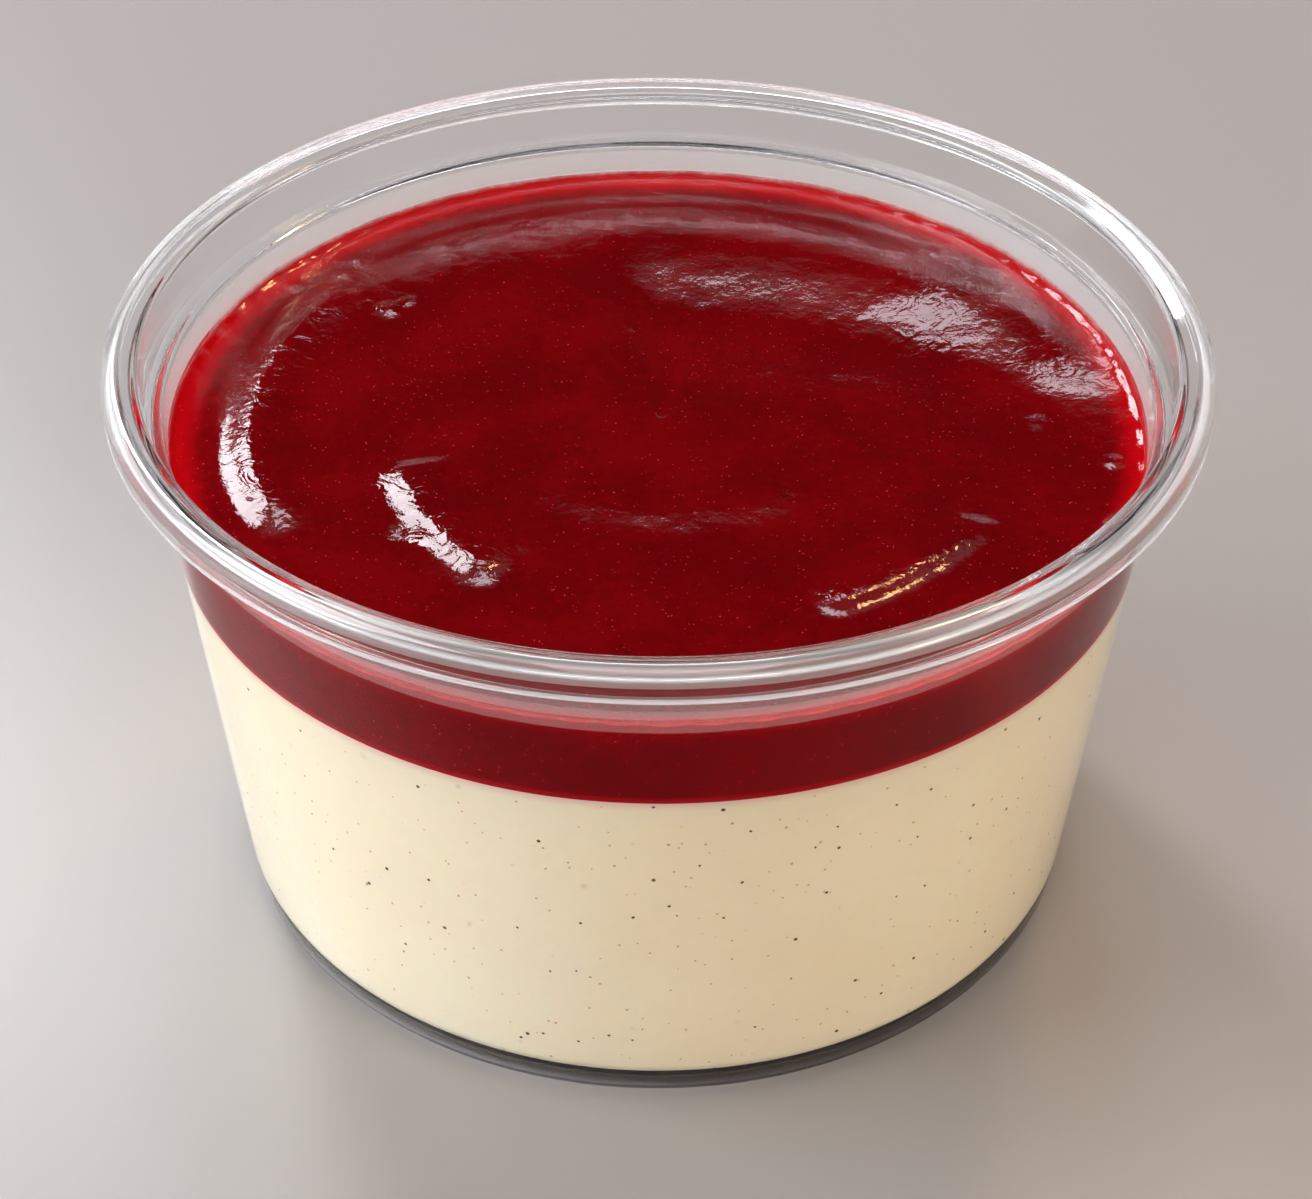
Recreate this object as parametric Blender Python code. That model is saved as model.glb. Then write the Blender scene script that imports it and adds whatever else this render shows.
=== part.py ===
"""Panna cotta in a clear round dessert cup: the cup, the set cream and the red berry coulis on top.

Metres, +Z up. The origin is the middle of the cup's foot, on the surface that it stands on.
Every sub-part is turned about the Z axis from a half section, a list of (radius, height) points.
"""

import math

import bmesh
import bpy

MM = 0.001

# Driving dimensions of the cup
RIM_RADIUS = 47.5 * MM
CUP_HEIGHT = 53.3 * MM
FOOT_RADIUS = 39.12 * MM
WALL = 1.0 * MM
FLOOR = 2.1 * MM
DRAFT = 0.0976  # outward run of the body wall for each unit of height

# The lid seat: a short neck above a ledge, and the rolled rim with its skirt
LEDGE_HEIGHT = 48.2 * MM
LEDGE_WIDTH = 1.15 * MM
LEDGE_RISE = 0.3 * MM
NECK_FLARE = 0.45 * MM
CROWN_WIDTH = 1.7 * MM
CROWN_FILLET = 1.25 * MM
RIM_DIP = 0.7 * MM  # how far the inner edge of the rim lies below its crown
SKIRT_DROP = 3.0 * MM
SKIRT_WALL = 0.7 * MM

# The foot: a flat ring round a shallow recess
FOOT_RING = 3.6 * MM
FOOT_RECESS = 1.1 * MM

# The contents
CREAM_LEVEL = 36.1 * MM
COULIS_LEVEL = 44.1 * MM
CLEARANCE = 0.3 * MM
MENISCUS_RISE = 0.55 * MM
MENISCUS_WIDTH = 1.6 * MM
SWIRL_HEIGHT = 0.22 * MM
SWIRL_PITCH = 17.0 * MM
SWIRL_LEAD = 2.1  # radians by which the swirl is turned

SEGMENTS = 72
ARC_STEP = math.radians(36)
COULIS_RINGS = 15


def outer_wall(height):
    """Radius of the body's outer face."""
    return FOOT_RADIUS + DRAFT * height


def inner_wall(height):
    """Radius of the body's inner face, one wall thickness inside the outer one."""
    return outer_wall(height) - WALL * math.hypot(1, DRAFT)


def rounded(corners):
    """The corners (radius, height, fillet) as points, each fillet as an arc tangent to both sides."""
    points = []
    for i, (r, z, fillet) in enumerate(corners):
        if not fillet:
            points.append((r, z))
            continue
        before = math.atan2(corners[i - 1][1] - z, corners[i - 1][0] - r)
        after = math.atan2(corners[i + 1][1] - z, corners[i + 1][0] - r)
        opening = (after - before + math.pi) % (2 * math.pi) - math.pi
        half = abs(opening) / 2
        middle = before + opening / 2
        reach = fillet / math.sin(half)
        centre = (r + reach * math.cos(middle), z + reach * math.sin(middle))
        sweep = math.pi - 2 * half
        steps = max(1, round(sweep / ARC_STEP))
        for k in range(steps + 1):
            turn = (0.5 - k / steps) * sweep * math.copysign(1, opening)
            angle = middle + math.pi + turn
            points.append((centre[0] + fillet * math.cos(angle), centre[1] + fillet * math.sin(angle)))
    return points


def turned(name, section, material):
    """Spins a half section that starts and ends on the Z axis into one closed solid."""
    mesh = bpy.data.meshes.new(name)
    solid = bmesh.new()
    ring = [solid.verts.new((r, 0, z)) for r, z in section]
    sides = [solid.edges.new(pair) for pair in zip(ring, ring[1:])]
    bmesh.ops.spin(
        solid, geom=ring + sides, cent=(0, 0, 0), axis=(0, 0, 1), angle=2 * math.pi, steps=SEGMENTS, use_merge=True
    )
    bmesh.ops.remove_doubles(solid, verts=solid.verts, dist=0.002 * MM)
    bmesh.ops.recalc_face_normals(solid, faces=solid.faces)
    if solid.calc_volume(signed=True) < 0:
        bmesh.ops.reverse_faces(solid, faces=solid.faces)
    solid.to_mesh(mesh)
    solid.free()
    mesh.shade_smooth()
    mesh.set_sharp_from_angle(angle=math.radians(40))
    mesh.materials.append(material)
    part = bpy.data.objects.new(name, mesh)
    bpy.context.scene.collection.objects.link(part)
    return part


def finish(name, colour, roughness, transmission=0.0):
    """A Principled material."""
    material = bpy.data.materials.new(name)
    material.use_nodes = True
    shader = material.node_tree.nodes["Principled BSDF"]
    shader.inputs["Base Color"].default_value = (*colour, 1)
    shader.inputs["Roughness"].default_value = roughness
    shader.inputs["Transmission Weight"].default_value = transmission
    return material


def cup_section():
    """The cup's half section: under the foot, up the outside, over the rim and down the inside."""
    shoulder = LEDGE_HEIGHT - WALL
    neck_out = inner_wall(LEDGE_HEIGHT) + LEDGE_WIDTH + WALL
    rim_edge = inner_wall(LEDGE_HEIGHT) + LEDGE_WIDTH + NECK_FLARE
    flange_under = CUP_HEIGHT - RIM_DIP - WALL
    skirt_bottom = CUP_HEIGHT - SKIRT_DROP
    skirt_in = RIM_RADIUS - SKIRT_WALL
    ring_in = FOOT_RADIUS - FOOT_RING
    return rounded(
        [
            (0, FOOT_RECESS, 0),
            (ring_in - FOOT_RECESS, FOOT_RECESS, 0),
            (ring_in, 0, 0),
            (FOOT_RADIUS, 0, 0.9 * MM),
            (outer_wall(shoulder), shoulder, 0.5 * MM),
            (neck_out, shoulder + LEDGE_RISE, 0.6 * MM),
            (rim_edge + WALL, flange_under, 0.3 * MM),
            (skirt_in, flange_under + RIM_DIP, 0.5 * MM),
            (skirt_in, skirt_bottom, 0.2 * MM),
            (RIM_RADIUS, skirt_bottom, 0.3 * MM),
            (RIM_RADIUS, CUP_HEIGHT, CROWN_FILLET),
            (RIM_RADIUS - CROWN_WIDTH, CUP_HEIGHT, 0.3 * MM),
            (rim_edge, CUP_HEIGHT - RIM_DIP, 0.55 * MM),
            (rim_edge - NECK_FLARE, LEDGE_HEIGHT + LEDGE_RISE, 0.35 * MM),
            (inner_wall(LEDGE_HEIGHT), LEDGE_HEIGHT, 0.5 * MM),
            (inner_wall(FLOOR), FLOOR, 1.2 * MM),
            (0, FLOOR, 0),
        ]
    )


def cream_section():
    """The set cream: it fills the cup from its floor to the flat line under the coulis."""
    bottom = FLOOR + CLEARANCE
    top = CREAM_LEVEL - CLEARANCE / 2
    return rounded(
        [
            (0, bottom, 0),
            (inner_wall(bottom) - CLEARANCE, bottom, 1.0 * MM),
            (inner_wall(top) - CLEARANCE, top, 0),
            (inner_wall(top) / 2, top, 0),
            (0, top, 0),
        ]
    )


def coulis_top(radius, angle):
    """Height of the coulis: level, with a spoon's shallow spiral in it, and drawn up where it meets the cup."""
    edge = inner_wall(COULIS_LEVEL) - CLEARANCE
    meniscus = MENISCUS_RISE * math.exp((radius - edge) / MENISCUS_WIDTH)
    fade = math.sin(math.pi * min(1, radius / edge)) ** 0.5 if radius < edge else 0
    spiral = math.sin(2 * math.pi * radius / SWIRL_PITCH - angle + SWIRL_LEAD)
    return COULIS_LEVEL + meniscus + SWIRL_HEIGHT * fade * spiral


def coulis_section():
    """The coulis as a flat-topped layer, with rings of points across its top for the swirl."""
    bottom = CREAM_LEVEL + CLEARANCE / 2
    edge = inner_wall(COULIS_LEVEL) - CLEARANCE
    low = [(0, bottom), (inner_wall(bottom) / 2, bottom), (inner_wall(bottom) - CLEARANCE, bottom)]
    rings = [edge * math.sin(k / COULIS_RINGS * math.pi / 2) for k in range(COULIS_RINGS, -1, -1)]
    return low + [(r, COULIS_LEVEL) for r in rings]


def swirled(coulis):
    """Raises each point of the coulis's top to the height that coulis_top gives."""
    for vertex in coulis.data.vertices:
        if vertex.co.z > COULIS_LEVEL - 0.01 * MM:
            radius = math.hypot(vertex.co.x, vertex.co.y)
            vertex.co.z = coulis_top(radius, math.atan2(vertex.co.y, vertex.co.x))


def main():
    for leftover in list(bpy.data.objects):
        bpy.data.objects.remove(leftover)
    turned("cup", cup_section(), finish("clear_plastic", (0.93, 0.95, 0.96), 0.03, transmission=0.9))
    turned("panna_cotta", cream_section(), finish("vanilla_cream", (0.86, 0.74, 0.52), 0.45))
    coulis = turned("coulis", coulis_section(), finish("red_berry_coulis", (0.3, 0.004, 0.01), 0.08))
    swirled(coulis)


main()
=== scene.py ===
# %% [markdown]
# # Panna cotta under berry coulis, in a clear cup
# A set vanilla cream, a layer of red berry coulis on it, and the clear round plastic cup that holds both.
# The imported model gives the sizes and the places. Everything here is built in its frame, in metres, so each
# finished piece lies on its own solid without any fitting.

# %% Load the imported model
import math

import bpy
import numpy as np
from mathutils import Matrix, Vector


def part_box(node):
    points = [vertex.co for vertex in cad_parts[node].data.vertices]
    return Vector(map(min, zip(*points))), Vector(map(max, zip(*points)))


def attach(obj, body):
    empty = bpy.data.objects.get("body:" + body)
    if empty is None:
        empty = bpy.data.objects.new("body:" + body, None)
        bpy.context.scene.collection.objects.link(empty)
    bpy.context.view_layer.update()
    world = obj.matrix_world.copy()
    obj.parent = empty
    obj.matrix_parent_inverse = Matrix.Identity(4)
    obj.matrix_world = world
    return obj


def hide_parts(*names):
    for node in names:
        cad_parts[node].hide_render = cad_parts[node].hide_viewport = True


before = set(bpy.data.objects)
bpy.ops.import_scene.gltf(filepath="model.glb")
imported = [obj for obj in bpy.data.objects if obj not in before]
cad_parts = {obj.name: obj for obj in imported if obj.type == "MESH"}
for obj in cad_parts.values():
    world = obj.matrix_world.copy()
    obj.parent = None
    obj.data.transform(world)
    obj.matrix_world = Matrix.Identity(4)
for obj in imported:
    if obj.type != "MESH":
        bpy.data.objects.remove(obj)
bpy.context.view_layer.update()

MM = 0.001
_, cup_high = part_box("cup")
_, cream_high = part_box("panna_cotta")
coulis_low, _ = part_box("coulis")
RIM_RADIUS = cup_high[0]
CUP_HEIGHT = cup_high[2]
print("cup", round(2000 * RIM_RADIUS, 1), "mm across,", round(1000 * CUP_HEIGHT, 1), "mm tall")

# %% [markdown]
# ## The levels of the real cup
# The body is a cone of one wall thickness. Near the top, the wall steps out to a ledge that the lid sits
# on, then a short neck leads to the rolled rim. Each level is written once and everything else is worked
# out from it, so the cream and the coulis keep fitting if the cup changes.

# %% Sizes
FOOT_RADIUS = 39.12 * MM
DRAFT = 0.0976  # outward run of the wall for each unit of height
WALL = 1.0 * MM
WALL_ALONG_RADIUS = WALL * math.hypot(1, DRAFT)  # the leaning wall's thickness, measured straight outward
FLOOR = 2.1 * MM
FOOT_RECESS = 1.1 * MM
LEDGE_HEIGHT = 48.2 * MM
LEDGE_WIDTH = 1.15 * MM
LEDGE_RISE = 0.3 * MM
NECK_FLARE = 0.45 * MM
RIM_DIP = 0.7 * MM  # how far the inner edge of the rim lies below its crown
CROWN_WIDTH = 1.7 * MM
SKIRT_BOTTOM = CUP_HEIGHT - 3.0 * MM
SKIRT_WALL = 0.7 * MM
FOOT_RING = 3.6 * MM
CREAM_LEVEL = (cream_high[2] + coulis_low[2]) / 2
COULIS_LEVEL = 44.1 * MM
INTO_WALL = 0.14 * MM  # how far the contents reach into the plastic


def outer_wall(height):
    """Radius of the cup's outer face."""
    return FOOT_RADIUS + DRAFT * height


def inner_wall(height):
    """Radius of the cup's inner face."""
    return outer_wall(height) - WALL_ALONG_RADIUS


print("cream up to", round(CREAM_LEVEL / MM, 2), "mm, coulis up to", round(COULIS_LEVEL / MM, 2), "mm")

# %% [markdown]
# ## Turning a section
# A moulded cup and what fills it are round, so each is a half section swept about the upright axis. A
# Screw modifier could do it. A small geometry tree does the same from a plain strip of points, and shows
# what turning is: a grid whose columns are the angles and whose rows are the points of the section. The
# first and last columns meet, and the points on the axis fall together, so merging them closes the skin.
# Corners of a real moulding are never sharp. `rounded` swaps each corner for an arc. `with_edge_points`
# adds a point close to each end of a straight run, which keeps the smooth shading of the arc from creeping
# over the flat beside it.

# %% Rounded sections
ARC_STEP = math.radians(11)
EDGE_POINT = 0.12 * MM
LONGEST_RUN = 2.5 * MM


def rounded(corners):
    """The corners (radius, height, fillet) as points, each fillet as an arc tangent to both sides."""
    points = []
    for i, (r, z, fillet) in enumerate(corners):
        if not fillet:
            points.append((r, z))
            continue
        before = math.atan2(corners[i - 1][1] - z, corners[i - 1][0] - r)
        after = math.atan2(corners[i + 1][1] - z, corners[i + 1][0] - r)
        opening = (after - before + math.pi) % (2 * math.pi) - math.pi
        half = abs(opening) / 2
        middle = before + opening / 2
        centre_r = r + fillet / math.sin(half) * math.cos(middle)
        centre_z = z + fillet / math.sin(half) * math.sin(middle)
        sweep = math.pi - 2 * half
        steps = max(2, round(sweep / ARC_STEP))
        for k in range(steps + 1):
            angle = middle + math.pi + (0.5 - k / steps) * sweep * math.copysign(1, opening)
            points.append((centre_r + fillet * math.cos(angle), centre_z + fillet * math.sin(angle)))
    return points


def with_edge_points(points):
    """The same line with more points along its straight runs, two of them close to the ends."""
    line = [points[0]]
    for start, end in zip(points, points[1:]):
        length = math.dist(start, end)
        if length > 3 * EDGE_POINT:
            inner = length - 2 * EDGE_POINT
            count = max(1, math.ceil(inner / LONGEST_RUN))
            for k in range(count + 1):
                share = (EDGE_POINT + inner * k / count) / length
                line.append(tuple(a + (b - a) * share for a, b in zip(start, end)))
        line.append(end)
    return line


# %% Small helpers for node trees
def add_node(tree, kind, **settings):
    """A node with its settings and its plain input values."""
    node = tree.nodes.new(kind)
    for name, value in settings.items():
        if name.startswith("in_"):
            key = name[3:]
            node.inputs[int(key) if key.isdigit() else key.replace("_", " ")].default_value = value
        else:
            setattr(node, name, value)
    return node


def join(tree, *pairs):
    """Links each (output, input) pair."""
    for source, target in pairs:
        tree.links.new(source, target)


def sockets(tree, inputs, outputs):
    """Declares a group's named inputs and outputs, and gives back its input and output nodes."""
    for name, kind in inputs:
        tree.interface.new_socket(name, in_out="INPUT", socket_type="NodeSocket" + kind)
    for name, kind in outputs:
        tree.interface.new_socket(name, in_out="OUTPUT", socket_type="NodeSocket" + kind)
    return tree.nodes.new("NodeGroupInput"), tree.nodes.new("NodeGroupOutput")


def calculate(tree, operation, first, second=None, third=None, kind="ShaderNodeMath"):
    """A Math node fed by sockets or plain numbers. Gives back its output."""
    node = tree.nodes.new(kind)
    node.operation = operation
    for slot, value in enumerate((first, second, third)):
        if value is None:
            continue
        if isinstance(value, (int, float)):
            node.inputs[slot].default_value = value
        else:
            tree.links.new(value, node.inputs[slot])
    return node.outputs[0]


# %% The turning tree
MERGE_DISTANCE = 1e-7


def turning_tree():
    """Sweeps a strip of points (radius in X, height in Z) about the Z axis into a closed skin."""
    tree = bpy.data.node_groups.new("turn_a_section", "GeometryNodeTree")
    given, result = sockets(
        tree,
        [("Section", "Geometry"), ("Segments", "Int"), ("Material", "Material")],
        [("Turned", "Geometry")],
    )
    size = add_node(tree, "GeometryNodeAttributeDomainSize", component="MESH")
    grid = add_node(tree, "GeometryNodeMeshGrid")
    index = add_node(tree, "GeometryNodeInputIndex")
    rows = size.outputs["Point Count"]
    along = calculate(tree, "MODULO", index.outputs[0], rows, kind="FunctionNodeIntegerMath")
    column = calculate(tree, "DIVIDE_FLOOR", index.outputs[0], rows, kind="FunctionNodeIntegerMath")
    columns = calculate(tree, "ADD", given.outputs["Segments"], 1, kind="FunctionNodeIntegerMath")
    share = calculate(tree, "DIVIDE", column, given.outputs["Segments"])
    angle = calculate(tree, "MULTIPLY", share, 2 * math.pi)
    position = add_node(tree, "GeometryNodeInputPosition")
    sample = add_node(tree, "GeometryNodeSampleIndex", data_type="FLOAT_VECTOR", domain="POINT")
    parts = add_node(tree, "ShaderNodeSeparateXYZ")
    across = calculate(tree, "MULTIPLY", parts.outputs["X"], calculate(tree, "COSINE", angle))
    deep = calculate(tree, "MULTIPLY", parts.outputs["X"], calculate(tree, "SINE", angle))
    place = add_node(tree, "ShaderNodeCombineXYZ")
    move = add_node(tree, "GeometryNodeSetPosition")
    close = add_node(tree, "GeometryNodeMergeByDistance", in_Distance=MERGE_DISTANCE)
    smooth = add_node(tree, "GeometryNodeSetShadeSmooth")
    real = add_node(tree, "GeometryNodeRealizeInstances")
    paint = add_node(tree, "GeometryNodeSetMaterial")
    join(
        tree,
        (given.outputs["Section"], size.inputs[0]),
        (columns, grid.inputs["Vertices X"]),
        (rows, grid.inputs["Vertices Y"]),
        (given.outputs["Section"], sample.inputs["Geometry"]),
        (position.outputs[0], sample.inputs["Value"]),
        (along, sample.inputs["Index"]),
        (sample.outputs[0], parts.inputs[0]),
        (across, place.inputs["X"]),
        (deep, place.inputs["Y"]),
        (parts.outputs["Z"], place.inputs["Z"]),
        (grid.outputs["Mesh"], move.inputs["Geometry"]),
        (place.outputs[0], move.inputs["Position"]),
        (move.outputs[0], close.inputs["Geometry"]),
        (close.outputs[0], smooth.inputs["Geometry"]),
        (smooth.outputs[0], real.inputs["Geometry"]),
        (real.outputs[0], paint.inputs["Geometry"]),
        (given.outputs["Material"], paint.inputs["Material"]),
        (paint.outputs[0], result.inputs["Turned"]),
    )
    return tree


def grow(name, start_mesh, tree, values):
    """Runs a geometry tree on a mesh and keeps the result as a plain mesh object."""
    piece = bpy.data.objects.new(name, start_mesh)
    bpy.context.scene.collection.objects.link(piece)
    modifier = piece.modifiers.new(tree.name, "NODES")
    modifier.node_group = tree
    for item in tree.interface.items_tree:
        if item.item_type == "SOCKET" and item.in_out == "INPUT" and item.name in values:
            modifier[item.identifier] = values[item.name]
    bpy.context.view_layer.update()
    made = bpy.data.meshes.new_from_object(piece.evaluated_get(bpy.context.evaluated_depsgraph_get()))
    piece.modifiers.remove(modifier)
    made.materials.clear()
    made.materials.append(values["Material"])
    made.polygons.foreach_set("material_index", [0] * len(made.polygons))
    piece.data = made
    made.name = name
    return piece


def section_mesh(name, points):
    """A strip of vertices and edges, radius in X and height in Z."""
    mesh = bpy.data.meshes.new(name)
    mesh.from_pydata([(r, 0, z) for r, z in points], [(i, i + 1) for i in range(len(points) - 1)], [])
    return mesh


TURNING = turning_tree()


def turn(name, points, segments, material):
    """A turned piece from a section that starts and ends on the axis, outer side first, bottom up."""
    piece = grow(name, section_mesh(name, points), TURNING, {"Segments": segments, "Material": material})
    print(name, len(piece.data.polygons), "faces from", len(points), "section points")
    return piece


def say(piece, slot, *nodes):
    """Puts a finished piece on the model's one body and hides the model's nodes it stands for. The slot is not
    used.
    """
    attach(piece, "root")
    if nodes:
        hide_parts(*nodes)


# %% [markdown]
# ## Shared effects
# Two effects turn up in more than one finish. The first is a soft unevenness: noise at two scales, which
# no poured or moulded surface is without. The second is a scatter of soft round flecks, as in vanilla cream
# and fruit purée. Each is a shader group, built once and given its own values in each material.

# %% Shader groups
def unevenness_group():
    """Noise at a coarse and a fine scale on Object coordinates, as one value around 0.5."""
    group = bpy.data.node_groups.new("soft_unevenness", "ShaderNodeTree")
    given, result = sockets(
        group,
        [("Vector", "Vector"), ("Coarse Scale", "Float"), ("Fine Scale", "Float"), ("Fine Share", "Float")],
        [("Value", "Float")],
    )
    coarse = add_node(group, "ShaderNodeTexNoise", in_Detail=2.0, in_Roughness=0.5)
    fine = add_node(group, "ShaderNodeTexNoise", in_Detail=3.0, in_Roughness=0.6)
    mix = add_node(group, "ShaderNodeMix", data_type="FLOAT")
    join(
        group,
        (given.outputs["Vector"], coarse.inputs["Vector"]),
        (given.outputs["Vector"], fine.inputs["Vector"]),
        (given.outputs["Coarse Scale"], coarse.inputs["Scale"]),
        (given.outputs["Fine Scale"], fine.inputs["Scale"]),
        (given.outputs["Fine Share"], mix.inputs["Factor"]),
        (coarse.outputs[0], mix.inputs[2]),
        (fine.outputs[0], mix.inputs[3]),
        (mix.outputs[0], result.inputs["Value"]),
    )
    return group


def flecks_group():
    """Soft round flecks in some cells of a Voronoi pattern: 1 at a fleck's middle, 0 between flecks."""
    group = bpy.data.node_groups.new("soft_flecks", "ShaderNodeTree")
    given, result = sockets(
        group,
        [("Vector", "Vector"), ("Scale", "Float"), ("Size", "Float"), ("Share", "Float")],
        [("Mask", "Float")],
    )
    cells = add_node(group, "ShaderNodeTexVoronoi", feature="F1")
    tone = add_node(group, "ShaderNodeSeparateColor")
    edge = add_node(group, "ShaderNodeMapRange", interpolation_type="SMOOTHSTEP", in_3=1.0, in_4=0.0)
    chosen = calculate(group, "LESS_THAN", tone.outputs[0], given.outputs["Share"])
    reach = calculate(group, "MULTIPLY", given.outputs["Size"], tone.outputs[1])
    mask = calculate(group, "MULTIPLY", edge.outputs[0], chosen)
    join(
        group,
        (given.outputs["Vector"], cells.inputs["Vector"]),
        (given.outputs["Scale"], cells.inputs["Scale"]),
        (cells.outputs["Color"], tone.inputs[0]),
        (cells.outputs["Distance"], edge.inputs[0]),
        (reach, edge.inputs[2]),
        (mask, result.inputs["Mask"]),
    )
    return group


UNEVENNESS = unevenness_group()
FLECKS = flecks_group()


def new_finish(name):
    """An empty material with a Principled shader. Gives back the material, its tree and its shader."""
    material = bpy.data.materials.new(name)
    material.use_nodes = True
    tree = material.node_tree
    return material, tree, tree.nodes["Principled BSDF"]


def use_group(tree, group, vector, **values):
    """Places a shader group, fed with a vector and its own values."""
    node = tree.nodes.new("ShaderNodeGroup")
    node.node_tree = group
    tree.links.new(vector, node.inputs["Vector"])
    for name, value in values.items():
        node.inputs[name.replace("_", " ")].default_value = value
    return node.outputs[0]


def ramp(tree, value, low, high, at_low, at_high, smooth=True):
    """Maps a value between two levels onto another range, held at the ends."""
    node = add_node(tree, "ShaderNodeMapRange", interpolation_type="SMOOTHSTEP" if smooth else "LINEAR")
    for slot, number in zip((1, 2, 3, 4), (low, high, at_low, at_high)):
        node.inputs[slot].default_value = number
    tree.links.new(value, node.inputs[0])
    return node.outputs[0]


def blend_colour(tree, share, first, second, mode="MIX"):
    """Mixes two colours, each a socket or plain numbers, by a share that changes over the surface."""
    node = add_node(tree, "ShaderNodeMix", data_type="RGBA", blend_type=mode)
    for slot, colour in ((6, first), (7, second)):
        if isinstance(colour, tuple):
            node.inputs[slot].default_value = (*colour, 1)
        else:
            tree.links.new(colour, node.inputs[slot])
    tree.links.new(share, node.inputs[0])
    return node.outputs[2]


def object_place(tree):
    """Object coordinates: where a point lies on the piece, in metres."""
    return tree.nodes.new("ShaderNodeTexCoord").outputs["Object"]


def radius_and_height(tree, where):
    """The distance from the cup's axis and the height, from Object coordinates."""
    parts = tree.nodes.new("ShaderNodeSeparateXYZ")
    tree.links.new(where, parts.inputs[0])
    squares = [calculate(tree, "POWER", parts.outputs[axis], 2.0) for axis in ("X", "Y")]
    return calculate(tree, "SQRT", calculate(tree, "ADD", *squares)), parts.outputs["Z"]


def clouded(tree, value, cloud, reach):
    """A radius or a height that the cloud pushes up by as much as the reach, for ragged colour edges."""
    return calculate(tree, "ADD", value, calculate(tree, "MULTIPLY", cloud, reach))


def bump(tree, height, strength, distance, shader):
    """Feeds a height into the shader's normal."""
    node = add_node(tree, "ShaderNodeBump", in_Strength=strength, in_Distance=distance)
    join(tree, (height, node.inputs["Height"]), (node.outputs[0], shader.inputs["Normal"]))


# %% [markdown]
# ## Clear plastic
# The cup is injection moulded: clear, with an almost perfect gloss, slightly wavy where the melt cooled.
# Glass shading bends light through it for real, so the dark and bright lines at its edges come out by
# themselves. Rays from lamps would need luck to find their way through bent walls, so they get a nearly
# clear stand-in instead, and the cream behind the wall is lit without grain. One plastic isn't the same
# everywhere: the wetted wall hardly mirrors, because the food lies against it, and the dry wall above is a
# little milky, which makes it paler. The rolled rim is milky and mirrors fully. Its narrow milky bands at the
# skirt's lower edge and at the inner edge, and the milky line along the bottom of the foot, are painted
# highlights, and the milky crown is partly one. The foot is tinted dark, as painted shade for the dark under
# the cup that it sees. So there are five finishes of it.

# %% Clear plastic finish
def clear_plastic(name, reflection, milky=0.0, tint=(0.985, 0.99, 0.995), wavy=0.4 * MM, ior=1.49):
    """Clear plastic: how much it mirrors, how milky it is, its tint, its waves and its bending of light."""
    material, tree, shader = new_finish(name)
    where = object_place(tree)
    waves = use_group(tree, UNEVENNESS, where, Coarse_Scale=60.0, Fine_Scale=420.0, Fine_Share=0.12)
    bump(tree, waves, 0.015, wavy, shader)
    tree.links.new(ramp(tree, waves, 0.3, 0.7, 0.0, 0.06), shader.inputs["Roughness"])
    shader.inputs["Base Color"].default_value = (*tint, 1)
    shader.inputs["Transmission Weight"].default_value = 1.0 - milky
    shader.inputs["IOR"].default_value = ior
    shader.inputs["Specular Tint"].default_value = (reflection, reflection, reflection, 1)
    lamp_ray = tree.nodes.new("ShaderNodeLightPath")
    clear = add_node(tree, "ShaderNodeBsdfTransparent", in_Color=(0.93, 0.94, 0.95, 1))
    choose = tree.nodes.new("ShaderNodeMixShader")
    join(
        tree,
        (lamp_ray.outputs["Is Shadow Ray"], choose.inputs[0]),
        (shader.outputs[0], choose.inputs[1]),
        (clear.outputs[0], choose.inputs[2]),
        (choose.outputs[0], tree.nodes["Material Output"].inputs["Surface"]),
    )
    return material


WALL_PLASTIC = clear_plastic("clear_plastic_wall", 0.0, ior=1.32)
NECK_PLASTIC = clear_plastic("clear_plastic_neck", 0.25, wavy=0.05 * MM)
# milky plastic that mirrors fully; where it lies in narrow bands it is painted highlight, pale lines where
# bright lines of light show
BEAD_PLASTIC_WITH_PAINTED_HIGHLIGHTS = clear_plastic("clear_plastic_bead_with_painted_highlights", 1.0, milky=0.30, wavy=0.05 * MM)
# painted shade: the foot's plastic is tinted dark for the dark under the cup that it sees through itself
FOOT_PLASTIC_PAINTED_SHADE = clear_plastic("clear_plastic_foot_painted_shade", 0.8, tint=(0.33, 0.32, 0.39))
DRY_WALL_PLASTIC = clear_plastic("clear_plastic_dry_wall", 0.3, milky=0.13)

# %% [markdown]
# ## The cup
# From the foot up: a recessed floor inside a foot ring, the conical wall, a shoulder under the lid's ledge,
# the short neck, and a rim that rolls outward and hangs down as a skirt, hollow underneath. One closed
# section holds all of it, inside and outside, so the plastic has its true thickness everywhere. Then each
# face gets the plastic that fits where it lies.

# %% Turn the cup
LEDGE_IN = inner_wall(LEDGE_HEIGHT)
RIM_EDGE = LEDGE_IN + LEDGE_WIDTH + NECK_FLARE  # where the neck turns over into the rim


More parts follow.
